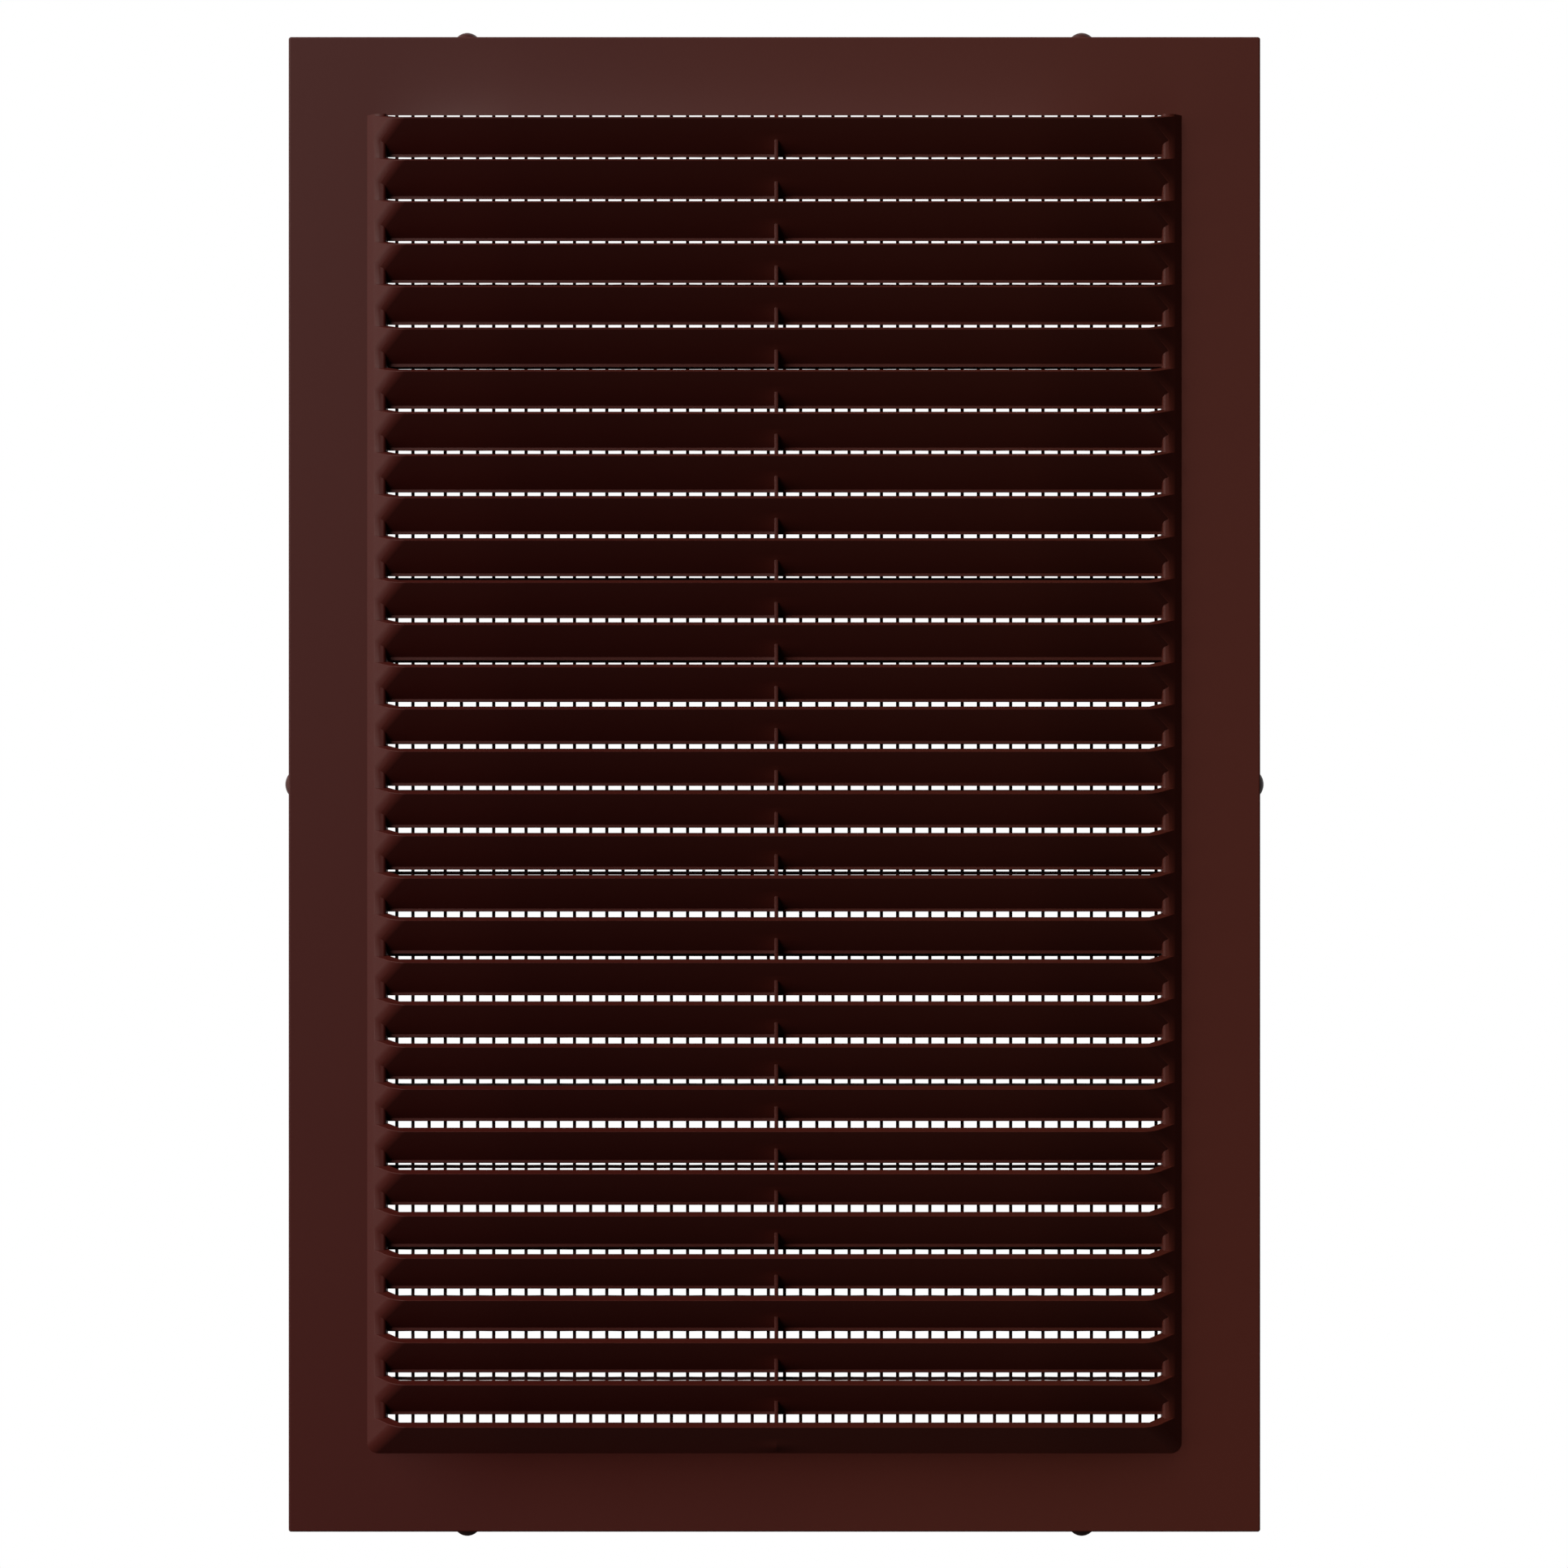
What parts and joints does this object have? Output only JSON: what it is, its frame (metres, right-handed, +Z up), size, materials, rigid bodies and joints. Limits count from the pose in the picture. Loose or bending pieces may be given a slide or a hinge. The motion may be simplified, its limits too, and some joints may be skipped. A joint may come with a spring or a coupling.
{
  "type": "ventilation grille",
  "caption": "Rectangular louvred wall vent: a clip-on cover with upturned hoods, a fine insect mesh behind them, and a wall frame around the duct mouth.",
  "frame": {"origin": "middle of the screw pattern on the frame's back face, in the plane of the wall", "axes": "+X to the right seen from the front, +Y into the wall, +Z up"},
  "size_m": [0.1976, 0.0182, 0.3034],
  "materials": {
    "brown_plastic": "satin moulded",
    "brown_net": "matte net",
    "brown_frame_plastic": "satin moulded"
  },
  "bodies": {
    "root": {"grille_cover": "brown_plastic", "insect_mesh": "brown_net", "mounting_frame": "brown_frame_plastic"}
  },
  "joints": []
}
